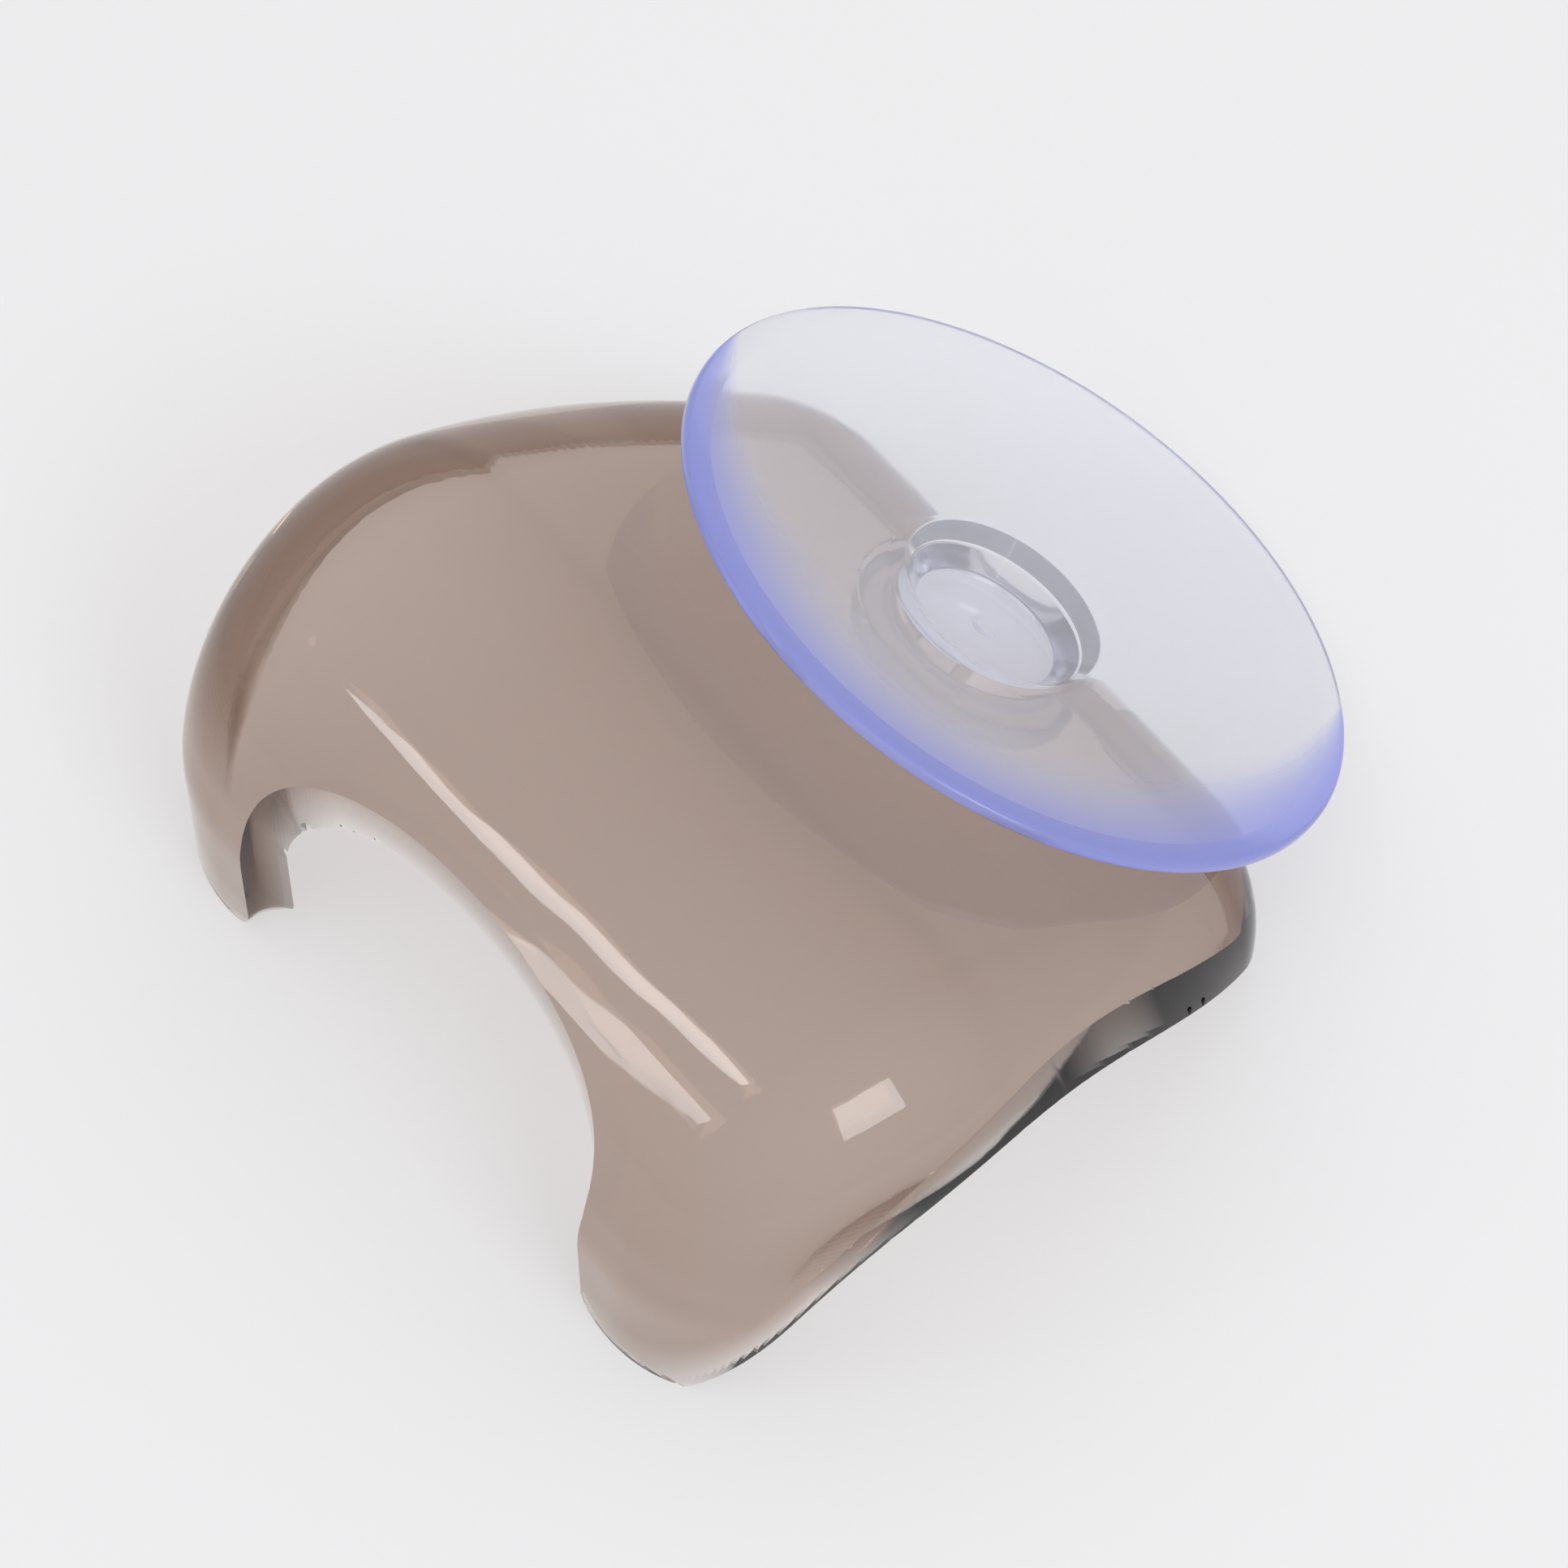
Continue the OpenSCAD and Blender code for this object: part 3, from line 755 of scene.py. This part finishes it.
def cup_surface(n, roughness):
    """Soft PVC: satin where the frost attribute is 1, scored where it is 2, polished elsewhere, with
    painted blue light near the rim.
    """
    place = n.add("ShaderNodeTexCoord").outputs["Object"]
    given = n.add("ShaderNodeAttribute", attribute_name="frost").outputs["Fac"]
    frost = n.maths("MINIMUM", given, 1.0)
    well = n.maths("MAXIMUM", n.maths("SUBTRACT", given, 1.0), 0.0)
    grain = n.add("ShaderNodeTexNoise", {"Vector": place, "Scale": 700.0, "Detail": 3.0}).outputs["Fac"]
    rough = n.maths("MULTIPLY_ADD", frost, roughness, 0.05)
    rough = n.maths("MULTIPLY_ADD", grain, 0.05, rough)
    stretched = n.add(
        "ShaderNodeMapping",
        {"Vector": place, "Rotation": (0.5, 0.2, 0.7), "Scale": (250.0, 3000.0, 900.0)},
    ).outputs[0]
    lines = n.add("ShaderNodeTexNoise", {"Vector": stretched, "Scale": 1.0, "Detail": 2.0}).outputs["Fac"]
    scored = n.maths("MULTIPLY", n.maths("GREATER_THAN", lines, 0.56), well)
    bump = n.add("ShaderNodeBump", {"Height": grain, "Strength": 0.1, "Distance": 0.05 * MM}).outputs[0]
    bump = n.add(
        "ShaderNodeBump", {"Height": scored, "Strength": 0.5, "Distance": 0.05 * MM, "Normal": bump}
    ).outputs[0]
    # Painted light: the rim is painted blue and hazier, widest on the side that lies nearest to the plate,
    # for the light seen there at grazing angles
    kind = "ShaderNodeVectorMath"
    across = n.add(kind, {0: place, 1: PAINTED_BLUE_CENTRE}, operation="SUBTRACT").outputs[0]
    reach = n.add(kind, {0: across}, operation="LENGTH").outputs["Value"]
    along = n.add(kind, {0: across, 1: PAINTED_BLUE_SIDE}, operation="DOT_PRODUCT").outputs["Value"]
    side = n.maths("DIVIDE", along, reach)
    width = n.add(
        "ShaderNodeMapRange",
        {"Value": side, "From Min": -0.3, "From Max": 0.55, "To Min": PAINTED_BLUE_NARROW, "To Max": PAINTED_BLUE_WIDE},
    ).outputs[0]
    glow = n.add(
        "ShaderNodeMapRange",
        {"Value": reach, "From Min": width, "From Max": PAINTED_BLUE_FULL, "To Min": 0.0, "To Max": 1.0},
        interpolation_type="SMOOTHSTEP",
    ).outputs[0]
    colour = n.add("ShaderNodeMix", {0: glow, 6: PVC_WHITE, 7: PAINTED_RIM_BLUE}, data_type="RGBA").outputs[2]
    return rough, bump, colour, n.maths("MULTIPLY", glow, PAINTED_BLUE_HAZE)


class RAZORHOLDER_OT_bracket(bpy.types.Operator):
    """Build the tinted bracket from its distance field"""

    bl_idname = "razorholder.bracket"
    bl_label = "Bracket"

    def execute(self, context):
        scene = context.scene
        sizes, cup, finish = scene.holder_bracket, scene.holder_cup, scene.holder_finish
        low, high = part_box("bracket")
        shape = HoodShape(sizes, cup, low[1] / MM)
        margin = 1.7 * shape.cell
        points, quads, crease = surface_net(
            shape, [v / MM - margin for v in low], [v / MM + margin for v in high], shape.cell
        )
        points = settle(shape, points, quads, crease, 3)
        points = np.clip(points, np.array(low) / MM, np.array(high) / MM)
        plastic = glass_material(
            "tinted plastic",
            finish.smoke_gloss,
            finish.smoke_ior,
            1.0,
            finish.smoke,
            finish.smoke_density,
            moulded_surface,
        )
        made = mesh_object(BRACKET, points * MM, quads, plastic)
        # see_through lets light pass straight on; cheeks holds where the painted shade goes
        for name, rule in (("see_through", see_through), ("cheeks", cheeks)):
            values = made.data.attributes.new(name, "FLOAT", "FACE")
            values.data.foreach_set("value", rule(shape, points, quads))
        made.data.normals_split_custom_set(corner_normals(shape, points, quads).tolist())
        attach(made, "bracket")
        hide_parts("bracket")
        return {"FINISHED"}


class RAZORHOLDER_OT_suction_cup(bpy.types.Operator):
    """Build the suction cup by turning its half section"""

    bl_idname = "razorholder.suction_cup"
    bl_label = "Suction cup"

    def section(self, cup, wall):
        """Half section as (radius, height, frost) in metres, from the head round to the well."""
        fine, edge, corner = 0.1 * MM, 0.3 * MM, 0.5 * MM
        rim_r, neck_r, head_r = cup.cup_d / 2, cup.neck_d / 2, cup.head_d / 2
        hub_r, lip_r, well_r = neck_r + cup.dish_t, rim_r - cup.lip_w, cup.well_d / 2
        back_z, inner_z = cup.groove_gap, cup.groove_gap + cup.dish_t
        head_top = -wall - cup.groove_gap
        floor_z = inner_z - cup.well_depth
        base, bevel = head_top - cup.head_t, cup.head_t / 3

        def rise(u):
            return 0.35 * u + 0.65 * u * u

        corners = [
            (0, base, 0, 0),
            (head_r - bevel, base, 0, corner),
            (head_r, base + bevel, 0, corner),
            (head_r, head_top, 0, edge),
            (neck_r, head_top, 0, fine),
            (neck_r, back_z, 0, 0.2 * MM),
        ]
        steps = 28
        for i in range(steps + 1):
            u = i / steps
            height = back_z + (cup.cup_h - cup.rim_t - back_z) * rise(u)
            frost = 0.3 * (u < 0.8)
            corners.append((hub_r + (rim_r - hub_r) * u, height, frost, edge * (i in (0, steps))))
        corners.append((rim_r, cup.cup_h, 0, 0.35 * MM))
        for i in range(steps, -1, -1):
            u = i / steps
            height = inner_z + (cup.cup_h - inner_z) * rise(u)
            frost = min(1.0, max(0.0, (0.97 - u) / 0.15))
            corners.append((well_r + (lip_r - well_r) * u, height, frost, edge * (i in (0, steps))))
        corners += [
            (cup.well_floor_d / 2, floor_z, 1.6, 0.35 * MM),
            (0.9 * MM, floor_z, 2, fine),
            (0.6 * MM, floor_z + 0.15 * MM, 2, 0.08 * MM),
            (0, floor_z + 0.2 * MM, 2, 0),
        ]
        return rounded_line(corners)

    def execute(self, context):
        scene = context.scene
        sizes, cup, finish = scene.holder_bracket, scene.holder_cup, scene.holder_finish
        low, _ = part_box("bracket")
        shape = HoodShape(sizes, cup, low[1] / MM)
        line = self.section(cup, sizes.wall)
        plastic = glass_material(
            "clear PVC",
            finish.frost,
            finish.pvc_ior,
            finish.pvc_clear,
            finish.pvc,
            finish.pvc_density,
            cup_surface,
        )
        mesh = bpy.data.meshes.new(CUP)
        mesh.from_pydata([(r, 0, h) for r, h, _ in line], [(i, i + 1) for i in range(len(line) - 1)], [])
        frost = mesh.attributes.new("frost", "FLOAT", "POINT")
        frost.data.foreach_set("value", [f for _, _, f in line])
        mesh.materials.append(plastic)
        made = bpy.data.objects.new(CUP, mesh)
        context.scene.collection.objects.link(made)
        seat = (0.0, (shape.seat[0] + shape.shift_y) * MM, shape.seat[1] * MM)
        turn = (Matrix.Rotation(-cup.cup_tilt, 3, "X") @ Matrix.Rotation(cup.cup_lean, 3, "Y")).to_euler()
        values = {"Steps round": cup.steps, "Seat": seat, "Turn": tuple(turn), "Plastic": plastic}
        apply_nodes(made, revolve_tree(), values)
        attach(made, "cup")
        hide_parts("suction_cup")
        return {"FINISHED"}


def area_lamp(name, at, target, width, height, power):
    """A soft lamp that faces a point."""
    lamp = bpy.data.lights.new(name, "AREA")
    lamp.shape, lamp.size, lamp.size_y, lamp.energy = "RECTANGLE", width, height, power
    made = bpy.data.objects.new(name, lamp)
    bpy.context.scene.collection.objects.link(made)
    made.location = at
    made.rotation_euler = (Vector(target) - Vector(at)).to_track_quat("-Z", "Y").to_euler()
    return made


class RAZORHOLDER_OT_stage(bpy.types.Operator):
    """Build the floor, the soft lamps and the camera"""

    bl_idname = "razorholder.stage"
    bl_label = "Stage"

    def execute(self, context):
        stage = context.scene.holder_stage
        half = 1.5
        under = -0.02 * MM
        corners = np.array([(x * half, y * half, under) for x, y in ((-1, -1), (1, -1), (1, 1), (-1, 1))])
        paper = bpy.data.materials.new("floor paper")
        paper.use_nodes = True
        look = paper.node_tree.nodes["Principled BSDF"]
        look.inputs["Base Color"].default_value = (*stage.floor_colour, 1.0)
        look.inputs["Roughness"].default_value = 0.7
        look.inputs["Specular IOR Level"].default_value = 0.1
        n = Nodes(paper.node_tree)
        path = n.add("ShaderNodeLightPath").outputs
        seen = n.maths("MAXIMUM", path["Is Camera Ray"], path["Is Transmission Ray"])
        seen = n.maths("MAXIMUM", seen, path["Is Glossy Ray"])
        seen = n.maths("MULTIPLY", seen, stage.glow_share)
        glow = n.add("ShaderNodeEmission", {"Color": (*stage.floor_glow, 1.0)})
        mixed = n.add("ShaderNodeMixShader", {0: seen, 1: look.outputs[0], 2: glow.outputs[0]})
        n.tree.links.new(mixed.outputs[0], paper.node_tree.nodes["Material Output"].inputs["Surface"])
        floor = mesh_object("floor", corners, np.array([[0, 1, 2, 3]]), paper)
        for name, values in LAMPS.items():
            area_lamp(name, *values)
        world = bpy.data.worlds.new("studio")
        context.scene.world = world
        world.use_nodes = True
        sky = world.node_tree.nodes["Background"]
        sky.inputs["Color"].default_value = (*stage.sky_colour, 1.0)
        sky.inputs["Strength"].default_value = stage.sky_strength
        azimuth, up, roll = stage.camera_azimuth, stage.camera_elevation, stage.camera_roll
        sa, ca, se, ce = math.sin(azimuth), math.cos(azimuth), math.sin(up), math.cos(up)
        turned = Matrix.Rotation(roll, 3, "Z")
        seen = turned @ Matrix(((ca, sa, 0), (-sa * se, ca * se, ce), (sa * ce, -ca * ce, se)))
        lens = bpy.data.cameras.new("camera")
        lens.lens, lens.sensor_width, lens.clip_start = stage.lens, 36.0, 0.01
        camera = bpy.data.objects.new("camera", lens)
        context.scene.collection.objects.link(camera)
        camera.matrix_world = Matrix.Translation(stage.camera_at) @ seen.transposed().to_4x4()
        context.scene.camera = camera
        context.scene.view_settings.view_transform = "Standard"
        return {"FINISHED"}


class RAZORHOLDER_PT_panel(bpy.types.Panel):
    """Sizes, finishes and steps of the razor holder"""

    bl_idname = "RAZORHOLDER_PT_panel"
    bl_label = "Razor holder"
    bl_space_type = "VIEW_3D"
    bl_region_type = "UI"
    bl_category = "Razor holder"

    def draw(self, context):
        layout = self.layout
        for group in (
            context.scene.holder_bracket,
            context.scene.holder_cup,
            context.scene.holder_finish,
            context.scene.holder_stage,
        ):
            box = layout.box()
            for name in group.__annotations__:
                box.prop(group, name)
        for operator in OPERATORS:
            layout.operator(operator.bl_idname)


OPERATORS = (RAZORHOLDER_OT_bracket, RAZORHOLDER_OT_suction_cup, RAZORHOLDER_OT_stage)
GROUPS = {
    "holder_bracket": HolderBracketSizes,
    "holder_cup": HolderCupSizes,
    "holder_finish": HolderFinish,
    "holder_stage": HolderStage,
}


def register():
    """Registers the property groups, the operators and the panel."""
    for name, group in GROUPS.items():
        bpy.utils.register_class(group)
        setattr(bpy.types.Scene, name, bpy.props.PointerProperty(type=group))
    for kind in (*OPERATORS, RAZORHOLDER_PT_panel):
        bpy.utils.register_class(kind)


def unregister():
    """Takes away what register added."""
    for kind in (RAZORHOLDER_PT_panel, *reversed(OPERATORS)):
        bpy.utils.unregister_class(kind)
    for name, group in GROUPS.items():
        delattr(bpy.types.Scene, name)
        bpy.utils.unregister_class(group)


def main():
    """Builds the razor holder and its stage."""
    register()
    bpy.ops.razorholder.bracket()
    bpy.ops.razorholder.suction_cup()
    bpy.ops.razorholder.stage()


if __name__ == "__main__":
    main()
